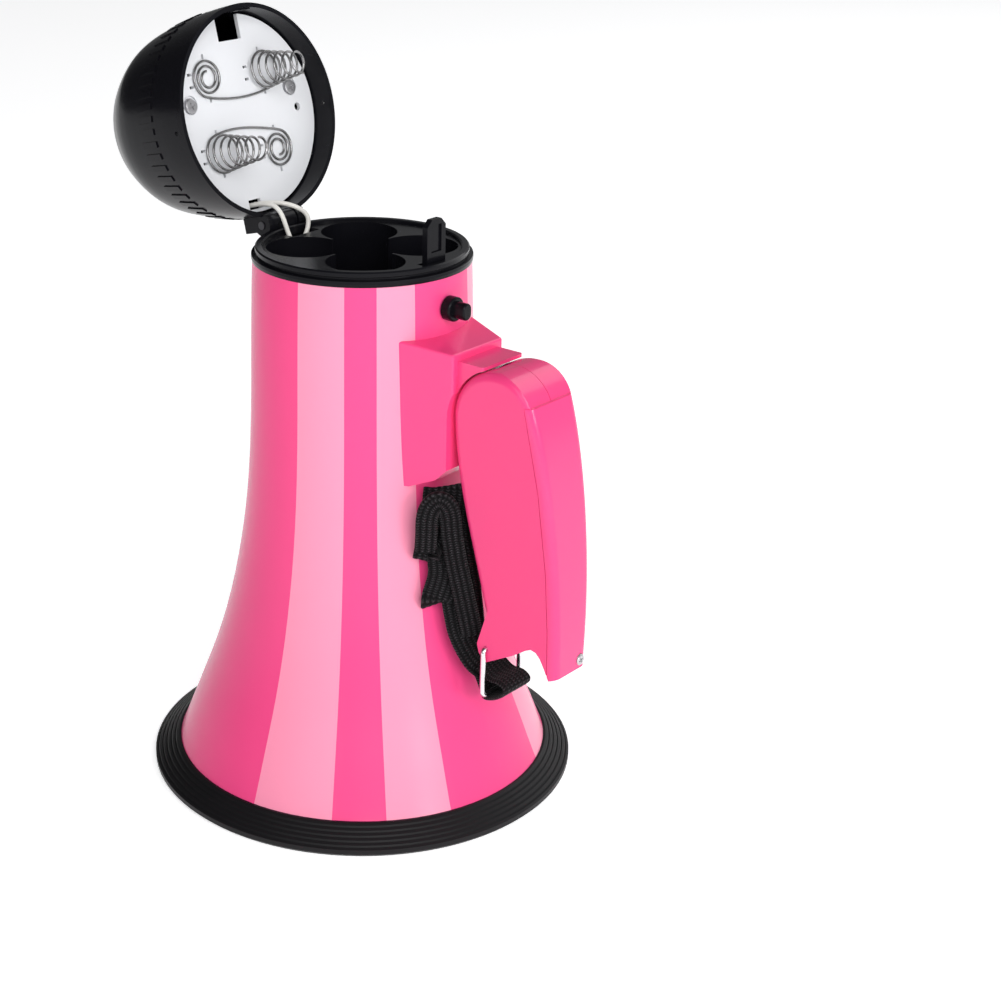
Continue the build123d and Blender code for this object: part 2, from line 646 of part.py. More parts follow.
def write(name, shape):
    if isinstance(shape, list):
        shape = Compound(children=[s.solids()[0] for s in shape])
    shape.label = name
    export_step(shape, os.path.join("parts", name + ".step"))


def main():
    horn = make_horn()
    write("horn_shell", horn)
    write("bell_ring", make_bell_ring(horn))
    write("rear_collar", make_collar())
    write("lid_hinge_pin", across(1.5, hinge_x, hinge_z, -10.0, 10.0))
    write("battery_tub", make_tub())
    write("tub_link", make_tub_link())
    write("tub_terminals", make_tub_terminals())
    write("amp_board", make_board())
    write("amp_parts", make_board_parts())
    write("board_screws", make_board_screws())
    write("driver_plate", make_driver_plate(horn))
    write("driver_case", make_driver_case())
    write("driver_magnet", make_magnet())
    write("driver_diaphragm", make_diaphragm())
    write("throat_tube", make_throat())
    write("reflector_cup", make_reflector(horn))
    write("handle_bracket", make_bracket())
    write("bracket_screws", make_bracket_screws())
    write("handle_pin", across(pin_r, pivot_x, pivot_z, -10.4, 10.4))
    shell = make_handle()
    body = shell - cover_region(-0.12)
    write("handle_left", body & block(40, 110, -20, -seam, 50, 180))
    write("handle_right", body & block(40, 110, seam, 20, 50, 180))
    write("handle_cover", shell & cover_region(0.12))
    write("handle_screws", make_handle_screws())
    write("cover_screw", make_cover_screw())
    write("talk_switch", make_talk_switch())
    write("talk_trigger", make_trigger())
    write("trigger_spring", make_trigger_spring())
    write("strap_ring", make_strap_ring())
    write("strap_tab", make_strap_tab())
    write("wrist_strap", make_wrist_strap())
    write("lid_latch", make_latch())
    write("selector_knob", make_selector())
    write("selector_switch", make_selector_switch())
    write("rear_cap", opened(make_lid()))
    write("contact_plate", opened(make_plate()))
    write("plate_screws", [opened(s) for s in make_plate_screws()])
    write("upper_contact", opened(make_contact(upper_cone, upper_flat, -1)))
    write("lower_contact", opened(make_contact(lower_cone, lower_flat, 1)))
    write("mic_grille", opened(make_grille()))
    write("mic_capsule", opened(make_mic()))
    write("mic_lead_a", make_lead(lead_a))
    write("mic_lead_b", make_lead(lead_b))


main()
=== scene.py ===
import bpy
import math
from mathutils import Matrix, Vector


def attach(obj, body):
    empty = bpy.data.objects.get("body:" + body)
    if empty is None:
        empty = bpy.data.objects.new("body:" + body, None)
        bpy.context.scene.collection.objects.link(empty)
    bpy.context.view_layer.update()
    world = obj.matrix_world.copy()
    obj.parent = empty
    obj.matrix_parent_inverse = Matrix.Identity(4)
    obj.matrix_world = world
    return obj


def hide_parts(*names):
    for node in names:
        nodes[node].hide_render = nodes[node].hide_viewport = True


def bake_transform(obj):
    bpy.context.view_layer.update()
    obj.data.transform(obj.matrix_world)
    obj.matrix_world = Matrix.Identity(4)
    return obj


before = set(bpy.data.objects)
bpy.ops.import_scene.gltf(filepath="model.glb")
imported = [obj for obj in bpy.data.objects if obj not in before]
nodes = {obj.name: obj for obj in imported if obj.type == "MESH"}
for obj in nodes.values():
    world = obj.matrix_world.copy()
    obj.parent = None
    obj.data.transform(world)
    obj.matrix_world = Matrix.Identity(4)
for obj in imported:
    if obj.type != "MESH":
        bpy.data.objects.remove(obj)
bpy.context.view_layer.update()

milli = 0.001


# the camera, at the handle side and looking down a little

view = {
    "azimuth": 41.9,                        # degrees round the horn from the front
    "pitch": 22.6,
    "place": (0.4408, -0.4912, 0.378),
    "lens": 69.5,
    "shiftX": 0.138,
}

def clearSelection():
    bpy.ops.object.select_all(action="DESELECT")


def addCamera():
    turn = (math.radians(90 - view["pitch"]), 0, math.radians(view["azimuth"]))
    bpy.ops.object.camera_add(location=view["place"], rotation=turn)
    camera = bpy.context.object
    camera.name = "Camera"
    camera.data.lens = view["lens"]
    camera.data.sensor_width = 36
    camera.data.shift_x = view["shiftX"]
    bpy.context.scene.camera = camera


print("camera")
clearSelection()
addCamera()


# shader groups that the materials share

def newGroup(name, inputs, outputs):
    group = bpy.data.node_groups.new(name, "ShaderNodeTree")
    for label, kind, start in inputs:
        plug = group.interface.new_socket(label, in_out="INPUT", socket_type=kind)
        plug.default_value = start
    for label, kind in outputs:
        group.interface.new_socket(label, in_out="OUTPUT", socket_type=kind)
    source = group.nodes.new("NodeGroupInput")
    target = group.nodes.new("NodeGroupOutput")
    return group, source, target


def mathNode(tree, operation, first, second=None, third=None):
    node = tree.nodes.new("ShaderNodeMath")
    node.operation = operation
    for plug, value in zip(node.inputs, (first, second, third)):
        if value is None:
            continue
        if isinstance(value, (int, float)):
            plug.default_value = value
        else:
            tree.links.new(value, plug)
    return node.outputs[0]


def rangeNode(tree, value, low, high, toLow, toHigh):
    node = tree.nodes.new("ShaderNodeMapRange")
    tree.links.new(value, node.inputs["Value"])
    for label, number in (("From Min", low), ("From Max", high), ("To Min", toLow), ("To Max", toHigh)):
        node.inputs[label].default_value = number
    return node.outputs["Result"]


def noiseNode(tree, vector, scale, detail=3.0, rough=0.5):
    node = tree.nodes.new("ShaderNodeTexNoise")
    tree.links.new(vector, node.inputs["Vector"])
    node.inputs["Detail"].default_value = detail
    node.inputs["Roughness"].default_value = rough
    if isinstance(scale, (int, float)):
        node.inputs["Scale"].default_value = scale
    else:
        tree.links.new(scale, node.inputs["Scale"])
    return node.outputs["Fac"]


def buildMouldGroup():
    # broad colour drift, handling marks in the gloss and a fine orange peel
    group, source, target = newGroup(
        "mouldedSurface",
        [("Colour", "NodeSocketColor", (0.8, 0.8, 0.8, 1)),
         ("Drift", "NodeSocketFloat", 0.06),
         ("Gloss", "NodeSocketFloat", 0.25),
         ("Spread", "NodeSocketFloat", 0.1),
         ("Grain", "NodeSocketFloat", 900.0)],
        [("Colour", "NodeSocketColor"), ("Roughness", "NodeSocketFloat"), ("Height", "NodeSocketFloat")])
    where = group.nodes.new("ShaderNodeTexCoord").outputs["Object"]
    broad = noiseNode(group, where, 26.0, 2.0)
    marks = noiseNode(group, where, 45.0, 1.0, 0.4)
    fine = noiseNode(group, where, source.outputs["Grain"], 2.0)
    darker = mathNode(group, "MULTIPLY", rangeNode(group, broad, 0.0, 1.0, 0.0, 1.0), source.outputs["Drift"])
    shade = group.nodes.new("ShaderNodeMix")
    shade.data_type = "RGBA"
    shade.blend_type = "MULTIPLY"
    group.links.new(darker, shade.inputs["Factor"])
    group.links.new(source.outputs["Colour"], shade.inputs[6])
    shade.inputs[7].default_value = (0.55, 0.5, 0.55, 1)
    group.links.new(shade.outputs[2], target.inputs["Colour"])
    scuff = rangeNode(group, marks, 0.0, 1.0, 0.0, 1.0)
    rough = mathNode(group, "MULTIPLY_ADD", scuff, source.outputs["Spread"], source.outputs["Gloss"])
    group.links.new(rough, target.inputs["Roughness"])
    group.links.new(fine, target.inputs["Height"])
    return group


def buildPaintedReflectionGroup():
    # upright lighter bands on the horn, painted reflections of strip lights, by the angle round its axis, the
    # same on both sides of the handle
    group, source, target = newGroup(
        "hornPaintedReflections",
        [("First low", "NodeSocketFloat", 21.0), ("First high", "NodeSocketFloat", 41.0),
         ("Second low", "NodeSocketFloat", 57.0), ("Second high", "NodeSocketFloat", 82.0)],
        [("Mask", "NodeSocketFloat")])
    where = group.nodes.new("ShaderNodeTexCoord").outputs["Object"]
    split = group.nodes.new("ShaderNodeSeparateXYZ")
    group.links.new(where, split.inputs[0])
    angle = mathNode(group, "ARCTAN2", split.outputs["Y"], split.outputs["X"])
    degrees = mathNode(group, "MULTIPLY", mathNode(group, "ABSOLUTE", angle), 180 / math.pi)
    masks = []
    for name in ("First", "Second"):
        above = mathNode(group, "GREATER_THAN", degrees, source.outputs[name + " low"])
        below = mathNode(group, "LESS_THAN", degrees, source.outputs[name + " high"])
        masks.append(mathNode(group, "MULTIPLY", above, below))
    group.links.new(mathNode(group, "MAXIMUM", masks[0], masks[1]), target.inputs["Mask"])
    return group


def buildWebbingGroup():
    # chain stitch columns that run along the tape, with the map in millimetres, and a painted highlight that
    # makes the raised beads lighter in colour
    group, source, target = newGroup(
        "webbingWeave",
        [("Column", "NodeSocketFloat", 2.14), ("Pick", "NodeSocketFloat", 0.95)],
        [("Height", "NodeSocketFloat"), ("Light", "NodeSocketFloat")])
    uv = group.nodes.new("ShaderNodeUVMap")
    uv.uv_map = "tape"
    split = group.nodes.new("ShaderNodeSeparateXYZ")
    group.links.new(uv.outputs[0], split.inputs[0])
    u = mathNode(group, "DIVIDE", split.outputs["X"], source.outputs["Column"])
    v = mathNode(group, "DIVIDE", split.outputs["Y"], source.outputs["Pick"])
    slant = mathNode(group, "ABSOLUTE", mathNode(group, "SUBTRACT", mathNode(group, "FRACT", u), 0.5))
    column = mathNode(group, "SUBTRACT", 1.0, mathNode(group, "MULTIPLY", slant, 2.0))
    ridge = mathNode(group, "POWER", column, 0.6)
    phase = mathNode(group, "ADD", v, mathNode(group, "MULTIPLY", slant, 0.9))
    beat = mathNode(group, "SINE", mathNode(group, "MULTIPLY", phase, 2 * math.pi))
    bead = mathNode(group, "MULTIPLY_ADD", beat, 0.5, 0.5)
    height = mathNode(group, "MULTIPLY", ridge, mathNode(group, "MULTIPLY_ADD", bead, 0.7, 0.3))
    group.links.new(height, target.inputs["Height"])
    where = group.nodes.new("ShaderNodeTexCoord").outputs["Object"]
    fuzz = noiseNode(group, where, 2600.0, 3.0)
    # painted highlight: the higher a bead stands the lighter its colour, broken up by noise
    paintedBeadShine = mathNode(group, "MULTIPLY", height, rangeNode(group, fuzz, 0.3, 0.7, 0.3, 1.0))
    beadHighlight = mathNode(group, "POWER", paintedBeadShine, 2.2)
    group.links.new(beadHighlight, target.inputs["Light"])
    return group


print("shader groups")
mouldGroup = buildMouldGroup()
paintedReflectionGroup = buildPaintedReflectionGroup()
webbingGroup = buildWebbingGroup()


# materials

def newMaterial(name):
    material = bpy.data.materials.new(name)
    material.use_nodes = True
    return material, material.node_tree, material.node_tree.nodes["Principled BSDF"]


def useGroup(tree, group, values):
    node = tree.nodes.new("ShaderNodeGroup")
    node.node_tree = group
    for label, value in values.items():
        node.inputs[label].default_value = value
    return node


def addBump(tree, shader, height, distance, strength=0.5):
    bump = tree.nodes.new("ShaderNodeBump")
    bump.inputs["Distance"].default_value = distance
    bump.inputs["Strength"].default_value = strength
    tree.links.new(height, bump.inputs["Height"])
    tree.links.new(bump.outputs[0], shader.inputs["Normal"])


finishes = {
    "blackPlastic": {
        "Colour": (0.006, 0.006, 0.008, 1),
        "Drift": 0.3, "Gloss": 0.17, "Spread": 0.1, "Grain": 700.0},
    "blackRubber": {
        "Colour": (0.008, 0.008, 0.009, 1),
        "Drift": 0.3, "Gloss": 0.38, "Spread": 0.14, "Grain": 2400.0},
    "greyPlate": {
        "Colour": (0.8, 0.81, 0.835, 1),
        "Drift": 0.06, "Gloss": 0.38, "Spread": 0.12, "Grain": 1500.0},
    "leadCover": {
        "Colour": (0.83, 0.81, 0.76, 1),
        "Drift": 0.12, "Gloss": 0.42, "Spread": 0.14, "Grain": 1800.0},
    "boardGreen": {
        "Colour": (0.02, 0.16, 0.06, 1),
        "Drift": 0.3, "Gloss": 0.3, "Spread": 0.1, "Grain": 1500.0},
    "partBlack": {
        "Colour": (0.02, 0.02, 0.022, 1),
        "Drift": 0.3, "Gloss": 0.5, "Spread": 0.1, "Grain": 2500.0},
    "ferrite": {
        "Colour": (0.05, 0.05, 0.055, 1),
        "Drift": 0.4, "Gloss": 0.6, "Spread": 0.2, "Grain": 1600.0},
    "filmAmber": {
        "Colour": (0.6, 0.42, 0.16, 1),
        "Drift": 0.2, "Gloss": 0.3, "Spread": 0.1, "Grain": 900.0},
}

pink = {
    "base": (0.89, 0.072, 0.25, 1),         # the horn
    "paintedReflection": (0.95, 0.30, 0.45, 1),          # its lighter bands, painted reflections of strip lights
    "plain": (0.90, 0.058, 0.225, 1),       # the bracket and the handle
    "Drift": 0.05, "Gloss": 0.24, "Spread": 0.04, "Grain": 620.0,
}


def mouldedMaterial(name, facts, coat=0.0, bump=0.00004, shine=0.5):
    material, tree, shader = newMaterial(name)
    shader.inputs["Specular IOR Level"].default_value = shine
    surface = useGroup(tree, mouldGroup, facts)
    tree.links.new(surface.outputs["Colour"], shader.inputs["Base Color"])
    tree.links.new(surface.outputs["Roughness"], shader.inputs["Roughness"])
    shader.inputs["Coat Weight"].default_value = coat
    shader.inputs["Coat Roughness"].default_value = 0.08
    addBump(tree, shader, surface.outputs["Height"], bump)
    return material


def pinkMaterial(name, withPaintedReflections):
    material, tree, shader = newMaterial(name)
    facts = {label: pink[label] for label in ("Drift", "Gloss", "Spread", "Grain")}
    surface = useGroup(tree, mouldGroup, {"Colour": pink["plain"], **facts})
    if withPaintedReflections:
        # the horn's lighter bands are painted reflections of strip lights, mixed into its colour
        bands = useGroup(tree, paintedReflectionGroup, {})
        mix = tree.nodes.new("ShaderNodeMix")
        mix.data_type = "RGBA"
        mix.inputs[6].default_value = pink["base"]
        mix.inputs[7].default_value = pink["paintedReflection"]
        tree.links.new(bands.outputs["Mask"], mix.inputs["Factor"])
        tree.links.new(mix.outputs[2], surface.inputs["Colour"])
    tree.links.new(surface.outputs["Colour"], shader.inputs["Base Color"])
    tree.links.new(surface.outputs["Roughness"], shader.inputs["Roughness"])
    shader.inputs["Specular IOR Level"].default_value = 0.2
    shader.inputs["Coat Weight"].default_value = 0.03 if withPaintedReflections else 0.35
    shader.inputs["Coat Roughness"].default_value = 0.12
    addBump(tree, shader, surface.outputs["Height"], 0.00003, 0.3)
    return material


def metalMaterial(name, colour, rough, streak):
    material, tree, shader = newMaterial(name)
    shader.inputs["Metallic"].default_value = 1.0
    surface = useGroup(tree, mouldGroup, {
        "Colour": colour, "Drift": 0.35, "Gloss": rough, "Spread": 0.2, "Grain": streak})
    tree.links.new(surface.outputs["Colour"], shader.inputs["Base Color"])
    tree.links.new(surface.outputs["Roughness"], shader.inputs["Roughness"])
    addBump(tree, shader, surface.outputs["Height"], 0.00003, 0.4)
    return material


def webbingMaterial(name):
    material, tree, shader = newMaterial(name)
    weave = useGroup(tree, webbingGroup, {})
    # the lighter colour on the raised beads is a painted highlight
    mix = tree.nodes.new("ShaderNodeMix")
    mix.data_type = "RGBA"
    mix.inputs[6].default_value = (0.0012, 0.0012, 0.0016, 1)
    mix.inputs[7].default_value = (0.085, 0.082, 0.09, 1)
    tree.links.new(weave.outputs["Light"], mix.inputs["Factor"])
    tree.links.new(mix.outputs[2], shader.inputs["Base Color"])
    rough = rangeNode(tree, weave.outputs["Height"], 0.0, 1.0, 0.85, 0.5)
    tree.links.new(rough, shader.inputs["Roughness"])
    shader.inputs["Specular IOR Level"].default_value = 0.12
    shader.inputs["Sheen Weight"].default_value = 0.06
    shader.inputs["Sheen Roughness"].default_value = 0.4
    addBump(tree, shader, weave.outputs["Height"], 0.0004, 0.9)
    return material


def paint(name, material):
    thing = nodes[name]
    thing.data.materials.clear()
    thing.data.materials.append(material)


print("materials")
looks = {
    "pinkPaintedReflections": pinkMaterial("pinkPaintedReflections", True),
    "pinkPlain": pinkMaterial("pinkPlain", False),
    "blackPlastic": mouldedMaterial("blackPlastic", finishes["blackPlastic"], 0.0, 0.00003, 0.12),
    "blackRubber": mouldedMaterial("blackRubber", finishes["blackRubber"], 0.0, 0.00006, 0.2),
    "greyPlate": mouldedMaterial("greyPlate", finishes["greyPlate"], 0.0, 0.00004),
    "leadCover": mouldedMaterial("leadCover", finishes["leadCover"]),
    "boardGreen": mouldedMaterial("boardGreen", finishes["boardGreen"], 0.3),
    "partBlack": mouldedMaterial("partBlack", finishes["partBlack"]),
    "ferrite": mouldedMaterial("ferrite", finishes["ferrite"], 0.0, 0.0001),
    "filmAmber": mouldedMaterial("filmAmber", finishes["filmAmber"]),
    "contactSteel": metalMaterial("contactSteel", (0.3, 0.3, 0.3, 1), 0.1, 1800.0),
    "screwSteel": metalMaterial("screwSteel", (0.62, 0.62, 0.63, 1), 0.28, 2400.0),
    "darkSteel": metalMaterial("darkSteel", (0.07, 0.07, 0.075, 1), 0.35, 2400.0),
    "ringSteel": metalMaterial("ringSteel", (0.8, 0.8, 0.81, 1), 0.1, 1200.0),
    "webbing": webbingMaterial("webbing"),
}

nodeLooks = {
    "pinkPaintedReflections": ["horn_shell"],
    "pinkPlain": ["handle_bracket", "handle_left", "handle_right", "handle_cover"],
    "blackPlastic": ["rear_collar", "battery_tub", "driver_plate", "driver_case", "throat_tube",
                     "reflector_cup", "rear_cap", "mic_grille", "lid_latch", "selector_knob", "talk_trigger"],
    "blackRubber": ["bell_ring"],
    "greyPlate": ["contact_plate"],
    "contactSteel": ["tub_link", "tub_terminals", "upper_contact", "lower_contact", "trigger_spring"],
    "darkSteel": ["lid_hinge_pin"],
    "screwSteel": ["board_screws", "bracket_screws", "handle_pin", "plate_screws", "handle_screws",
                   "cover_screw", "mic_capsule"],
    "ringSteel": ["strap_ring"],
    "boardGreen": ["amp_board"],
    "partBlack": ["amp_parts", "talk_switch", "selector_switch"],
    "ferrite": ["driver_magnet"],
    "filmAmber": ["driver_diaphragm"],
    "leadCover": ["mic_lead_a", "mic_lead_b"],
    "webbing": ["wrist_strap", "strap_tab"],
}

for look, names in nodeLooks.items():
    for name in names:
        paint(name, looks[look])


# microphone leads, the only cords

leads = {
    "radius": 0.85 * milli,
    "bodySide": (-0.0312, 0.0, 0.1985),       # below this a lead stays in the compartment
    "lidSide": (-0.0500, 0.0, 0.2072),
    "routes": {
        "a": [(-50.6, -5.0, 206.9), (-41.5, -5.0, 209.6), (-34.6, -5.2, 208.2),
              (-31.2, -4.6, 199.0), (-28.9, -1.4, 188.5)],
        "b": [(-50.6, -2.2, 206.9), (-41.8, -1.6, 209.2), (-34.8, 1.6, 208.6), (-32.4, 7.4, 204.4),
              (-31.8, 5.4, 197.6), (-31.9, -1.0, 192.2), (-31.9, -3.8, 186.5)],
    },
    "lengths": {"a": 0.0368, "b": 0.0446},
}


def routeCurve(name, points):
    data = bpy.data.curves.new(name, "CURVE")
    data.dimensions = "3D"
    data.resolution_u = 12
    spline = data.splines.new("NURBS")
    spline.points.add(len(points) - 1)
    for place, point in zip(spline.points, points):
        place.co = (*[part * milli for part in point], 1)
    spline.order_u = 3
    spline.use_endpoint_u = True
    curve = bpy.data.objects.new(name, data)
    bpy.context.scene.collection.objects.link(curve)
    return curve


def curveMesh(curve):
    bpy.context.view_layer.update()
    solid = curve.evaluated_get(bpy.context.evaluated_depsgraph_get())
    return bpy.data.meshes.new_from_object(solid)


def makeLead(key):
    curve = routeCurve("route_" + key, leads["routes"][key])
    path = [tuple(vertex.co) for vertex in curveMesh(curve).vertices]
    curve.data.bevel_depth = leads["radius"]
    curve.data.bevel_resolution = 4
    curve.data.use_fill_caps = True
    lead = bpy.data.objects.new("lead_" + key, curveMesh(curve))
    bpy.context.scene.collection.objects.link(lead)
    bpy.data.objects.remove(curve)
    lead.data.materials.clear()
    lead.data.materials.append(looks["leadCover"])
    lead.data.shade_smooth()
    node = "mic_lead_" + key
    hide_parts(node)
    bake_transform(lead)


print("leads")
for key in leads["routes"]:
    makeLead(key)


# wrist strap: tape sewn round the ring's bar and folded up beside the handle

tape = {
    "width": 15.0,
    "thick": 1.3,
    "ribs": 7,
    "ribDepth": 0.16,
    "doubledWidth": 7.6,
    "doubledRibs": 4,
    "doubledThick": 2.4,
    "step": 0.9,                            # millimetres between rows
    "handleSide": (0.0572, -0.0050, 0.0640),      # metres, where it starts to follow the ring
    "ringSide": (0.0622, -0.0005, 0.0555),
}

# each point is a centre and the direction across the tape, in millimetres, from the sewn end round the
# ring's bar, up behind the bundle, over its top and down in front in two folds
strapRun = [
    ((61.5, 0.0, 57.9), (0.0, 1.0, 0.0)),
    ((66.4, 0.0, 55.0), (0.0, 1.0, 0.0)),
    ((71.4, 0.0, 54.9), (0.0, 1.0, 0.0)),
    ((74.2, 0.0, 53.0), (0.0, 1.0, 0.0)),
    ((72.8, 0.0, 50.6), (0.0, 1.0, 0.0)),
    ((68.6, 0.0, 47.9), (0.0, 1.0, 0.0)),
    ((64.6, 0.0, 47.2), (0.0, 1.0, 0.0)),
    ((62.6, 0.0, 51.6), (0.0, 1.0, 0.0)),
    ((60.0, -0.6, 57.2), (0.04, 1.0, 0.0)),
    ((58.0, -3.8, 62.6), (0.16, 0.98, 0.0)),
    ((55.5, -6.0, 71.0), (0.36, 0.93, 0.04)),
    ((54.3, -6.8, 79.0), (0.5, 0.86, 0.02)),
    ((52.6, -7.0, 88.0), (0.58, 0.81, 0.0)),
    ((49.6, -7.8, 101.0), (0.66, 0.75, 0.0)),
    ((47.8, -8.6, 113.0), (0.7, 0.71, 0.0)),
    ((47.4, -9.3, 122.0), (0.7, 0.7, 0.2)),
    ((48.0, -10.3, 124.8), (0.7, 0.7, 0.26)),
    ((48.7, -11.7, 121.6), (0.7, 0.7, 0.2)),
    ((48.2, -12.3, 113.0), (0.7, 0.71, 0.04)),
    ((47.3, -12.8, 107.0), (0.72, 0.69, -0.06)),
    ((47.1, -14.1, 101.4), (0.72, 0.68, -0.2)),
    ((47.1, -14.9, 98.4), (0.7, 0.66, -0.32)),
    ((46.4, -13.9, 97.6), (0.7, 0.66, -0.32)),
    ((47.5, -12.7, 102.0), (0.72, 0.69, -0.08)),
    ((48.9, -11.6, 103.6), (0.7, 0.71, 0.0)),
    ((50.5, -11.3, 100.0), (0.68, 0.73, 0.02)),
    ((51.1, -11.3, 93.0), (0.66, 0.75, 0.06)),
    ((50.4, -12.7, 86.6), (0.66, 0.74, 0.16)),
    ((49.7, -13.6, 83.4), (0.66, 0.72, 0.3)),
    ((48.9, -12.5, 82.8), (0.66, 0.72, 0.3)),
    ((50.3, -11.0, 88.0), (0.66, 0.75, 0.08)),
]

# the loose end, doubled lengthwise: it comes up by the handle, turns over in its own plane and hangs
doubleRun = [
    ((58.1, -6.3, 70.0), (0.7, 0.7, 0.1)),
    ((57.8, -8.0, 77.0), (0.72, 0.68, 0.16)),
    ((56.3, -9.9, 88.0), (0.72, 0.67, 0.16)),
    ((54.3, -11.3, 99.0), (0.73, 0.67, 0.12)),
    ((53.0, -12.3, 109.0), (0.74, 0.66, 0.06)),
    ((52.4, -12.7, 115.6), (0.72, 0.65, 0.16)),
    ((51.5, -13.6, 119.6), (0.5, 0.45, 0.74)),
    ((49.5, -15.8, 121.6), (0.0, 0.0, 1.0)),
    ((47.6, -17.9, 119.2), (-0.52, -0.47, 0.71)),
    ((46.9, -18.8, 115.0), (-0.72, -0.65, 0.16)),
    ((46.7, -18.8, 109.0), (-0.74, -0.67, 0.0)),
    ((46.2, -18.6, 102.6), (-0.74, -0.66, 0.1)),
]


def smoothRun(run, step):
    # a curve through the points, read off about every step along it
    run = [(Vector(centre), Vector(side)) for centre, side in run]
    places = []
    for i in range(len(run) - 1):
        before, here, there, after = (run[max(0, min(len(run) - 1, k))] for k in (i - 1, i, i + 1, i + 2))
        gap = (there[0] - here[0]).length
        count = max(2, int(gap / step))
        for j in range(count):
            t = j / count
            centre, side = [
                0.5 * (2 * here[k] + (there[k] - before[k]) * t
                       + (2 * before[k] - 5 * here[k] + 4 * there[k] - after[k]) * t * t
                       + (3 * here[k] - before[k] - 3 * there[k] + after[k]) * t ** 3)
                for k in (0, 1)]
            places.append((centre, side.normalized()))
    places.append((run[-1][0], run[-1][1].normalized()))
    return places


def tapeSection(width, ribs, thick):
    # half thickness along one face, with its ribs, from edge to edge
    count = ribs * 4
    section = []
    for i in range(count + 1):
        across = i / count - 0.5
        rib = tape["ribDepth"] * abs(math.sin(math.pi * ribs * i / count))
        edge = 1 - max(0.0, (abs(across) - 0.46) / 0.04) ** 2 * 0.55
        section.append((across * width, (thick / 2 - tape["ribDepth"] + rib) * edge))
    return section


def makeTape(name, run, width, ribs, thick):
    places = smoothRun(run, tape["step"])
    section = tapeSection(width, ribs, thick)
    ring = section + [(across, -height) for across, height in reversed(section)]
    points, faces, marks = [], [], []
    travelled = 0.0
    for i, (centre, side) in enumerate(places):
        ahead = places[min(i + 1, len(places) - 1)][0] - places[max(i - 1, 0)][0]
        out = ahead.cross(side).normalized()
        square = out.cross(ahead).normalized()
        if i:
            travelled += (centre - places[i - 1][0]).length
        for across, height in ring:
            points.append((centre + square * across + out * height) * milli)
            marks.append((across, travelled))
    size = len(ring)
    for i in range(len(places) - 1):
        for j in range(size):
            a, b = i * size + j, i * size + (j + 1) % size
            faces.append((a, b, b + size, a + size))
    faces.append(tuple(reversed(range(size))))
    faces.append(tuple(range((len(places) - 1) * size, len(places) * size)))
    mesh = bpy.data.meshes.new(name)
    mesh.from_pydata(points, [], faces)
    layer = mesh.uv_layers.new(name="tape")
    for loop in mesh.loops:
        layer.data[loop.index].uv = marks[loop.vertex_index]
    strap = bpy.data.objects.new(name, mesh)
    bpy.context.scene.collection.objects.link(strap)
    clearSelection()
    strap.select_set(True)
    bpy.context.view_layer.objects.active = strap
    bpy.ops.object.mode_set(mode="EDIT")
    bpy.ops.mesh.select_all(action="SELECT")
    bpy.ops.mesh.normals_make_consistent(inside=False)
    bpy.ops.object.mode_set(mode="OBJECT")
    bpy.ops.object.shade_smooth_by_angle(angle=math.radians(50))
    mesh.materials.append(looks["webbing"])
    print(name, "length", round(travelled, 1), "mm")
    return strap


print("strap")
wristTape = makeTape("wristTape", strapRun, tape["width"], tape["ribs"], tape["thick"])
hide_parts("wrist_strap", "strap_tab")
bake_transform(wristTape)
looseEnd = makeTape("looseEnd", doubleRun, tape["doubledWidth"], tape["doubledRibs"], tape["doubledThick"])
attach(looseEnd, "handle")


# screw heads with their cross recesses

screw = {
    "round": 0.32,                          # millimetres off the head's edge
    "bladeLong": 1.15,                      # a slot's size, as a share of the head's radius
    "bladeWide": 0.24,
    "turn": 20,                             # degrees that the cross is turned by
    "lidOut": (0.9681, 0.0, 0.2504),        # the way that the open lid's plate faces
}

# name, radius, height, depth of the cross, place in millimetres (half the height comes off its Z),
# facing and body
heads = [
    ("plateScrewLeft", 2.6, 1.0, 0.7, (-58.36, -25.0, 245.22), screw["lidOut"], "lid"),
    ("plateScrewRight", 2.6, 1.0, 0.7, (-58.36, 25.0, 245.22), screw["lidOut"], "lid"),
    ("handleScrewTop", 2.75, 1.0, 0.8, (80.0, 9.5, 142.0), (0, 1, 0), "handle"),
    ("handleScrewLow", 2.75, 1.0, 0.8, (84.0, 9.5, 92.0), (0, 1, 0), "handle"),
    ("handleScrewInner", 2.75, 1.0, 0.8, (66.4, 9.5, 93.0), (0, 1, 0), "handle"),
    ("coverScrewHead", 1.95, 0.7, 0.5, (97.14, 5.2, 69.0), (1, 0, 0), "handle"),
]


def headMesh(name, radius, tall, sunk):
    # a domed head that faces +Z, cut by a cross
    clearSelection()
    bpy.ops.mesh.primitive_cylinder_add(vertices=48, radius=radius * milli, depth=tall * milli,
                                        location=(0, 0, -tall / 2 * milli))
    head = bpy.context.object
    head.name = name
    bevel = head.modifiers.new("round", "BEVEL")
    bevel.width = screw["round"] * milli
    bevel.segments = 4
    bpy.ops.object.modifier_apply(modifier="round")
    for turn in (0, 90):
        clearSelection()
        angle = math.radians(turn + screw["turn"])
        bpy.ops.mesh.primitive_cube_add(size=1, location=(0, 0, 0), rotation=(0, 0, angle))
        blade = bpy.context.object
        blade.scale = [part * milli for part in
                       (radius * screw["bladeLong"], radius * screw["bladeWide"], sunk * 2)]
        bpy.ops.object.transform_apply(location=True, rotation=True, scale=True)
        clearSelection()
        head.select_set(True)
        bpy.context.view_layer.objects.active = head
        cut = head.modifiers.new("cross", "BOOLEAN")
        cut.operation = "DIFFERENCE"
        cut.solver = "EXACT"
        cut.object = blade
        bpy.ops.object.modifier_apply(modifier="cross")
        bpy.data.objects.remove(blade)
    bpy.ops.object.shade_smooth_by_angle(angle=math.radians(40))
    return head


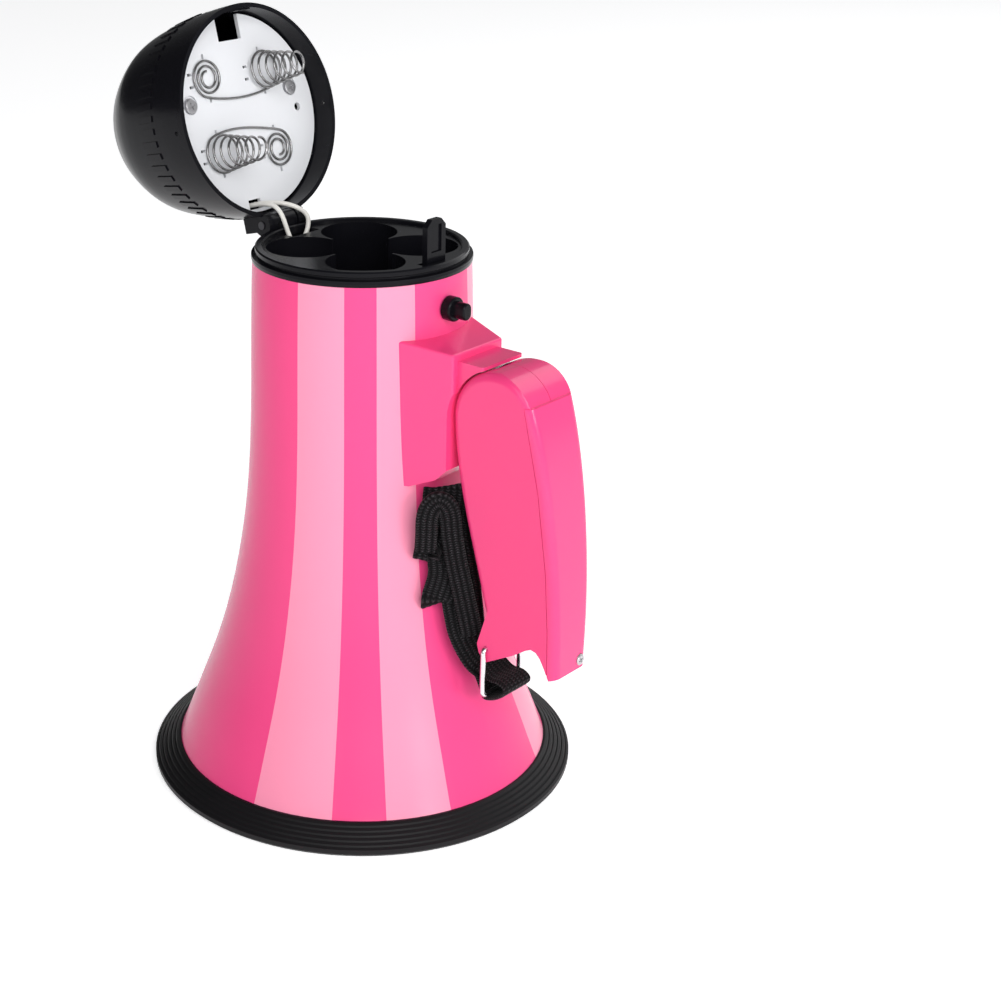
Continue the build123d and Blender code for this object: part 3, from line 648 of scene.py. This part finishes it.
def placeHead(name, radius, tall, sunk, top, facing, body):
    head = headMesh(name, radius, tall, sunk)
    turn = Vector(facing).to_track_quat("Z", "Y").to_matrix().to_4x4()
    place = Vector(top) * milli + head.location      # the whole place goes into the mesh
    head.data.transform(Matrix.Translation(place) @ turn)
    head.location = (0, 0, 0)
    head.data.materials.append(looks["screwSteel"])
    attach(head, body)


print("screw heads")
for facts in heads:
    placeHead(*facts)


# floor, light and background

lights = [
    {"name": "Key", "place": (1.5, -1.1, 1.2), "size": 1.3, "power": 23},
    {"name": "Fill", "place": (0.5, -1.9, 1.0), "size": 1.2, "power": 8},
    {"name": "Back", "place": (0.2, 1.7, 1.3), "size": 1.2, "power": 8},
    {"name": "Edge", "place": (1.5, -0.2, 0.5), "size": 0.35, "power": 5},
]

floorPaper = {"width": 16.0, "colour": (0.93, 0.93, 0.935, 1), "rough": 0.9, "shine": 0.1, "glow": 0.6}

# the room is darker on the side away from the key light
room = {
    "colour": (0.97, 0.98, 1.0, 1),
    "dark": 0.04,
    "bright": 0.42,
    "towards": (0.74, 0.67),                # the bright side, in X and Y
    "from": -0.7,
    "to": 0.6,
}


def addLights():
    target = Vector((0, 0, 0.13))
    for facts in lights:
        bpy.ops.object.light_add(type="AREA", location=facts["place"])
        lamp = bpy.context.object
        lamp.name = facts["name"]
        lamp.data.size = facts["size"]
        lamp.data.energy = facts["power"]
        lamp.rotation_euler = (target - Vector(facts["place"])).to_track_quat("-Z", "Y").to_euler()


def addFloor():
    clearSelection()
    bpy.ops.mesh.primitive_plane_add(size=floorPaper["width"], location=(0, 0, 0))
    ground = bpy.context.object
    ground.name = "Floor"
    material, tree, shader = newMaterial("floorPaper")
    shader.inputs["Base Color"].default_value = floorPaper["colour"]
    shader.inputs["Roughness"].default_value = floorPaper["rough"]
    shader.inputs["Specular IOR Level"].default_value = floorPaper["shine"]
    shader.inputs["Emission Color"].default_value = (1, 1, 1, 1)
    shader.inputs["Emission Strength"].default_value = floorPaper["glow"]
    ground.data.materials.append(material)


def addWorld():
    world = bpy.data.worlds.new("studio")
    world.use_nodes = True
    tree = world.node_tree
    back = tree.nodes["Background"]
    back.inputs["Color"].default_value = room["colour"]
    where = tree.nodes.new("ShaderNodeTexCoord").outputs["Generated"]
    split = tree.nodes.new("ShaderNodeSeparateXYZ")
    tree.links.new(where, split.inputs[0])
    x, y = room["towards"]
    side = mathNode(tree, "ADD", mathNode(tree, "MULTIPLY", split.outputs["X"], x),
                    mathNode(tree, "MULTIPLY", split.outputs["Y"], y))
    lit = rangeNode(tree, side, room["from"], room["to"], room["dark"], room["bright"])
    seen = tree.nodes.new("ShaderNodeLightPath").outputs["Is Camera Ray"]
    tree.links.new(mathNode(tree, "MAXIMUM", lit, seen), back.inputs["Strength"])
    bpy.context.scene.world = world
    bpy.context.scene.view_settings.view_transform = "Standard"


print("studio")
addFloor()
addLights()
addWorld()
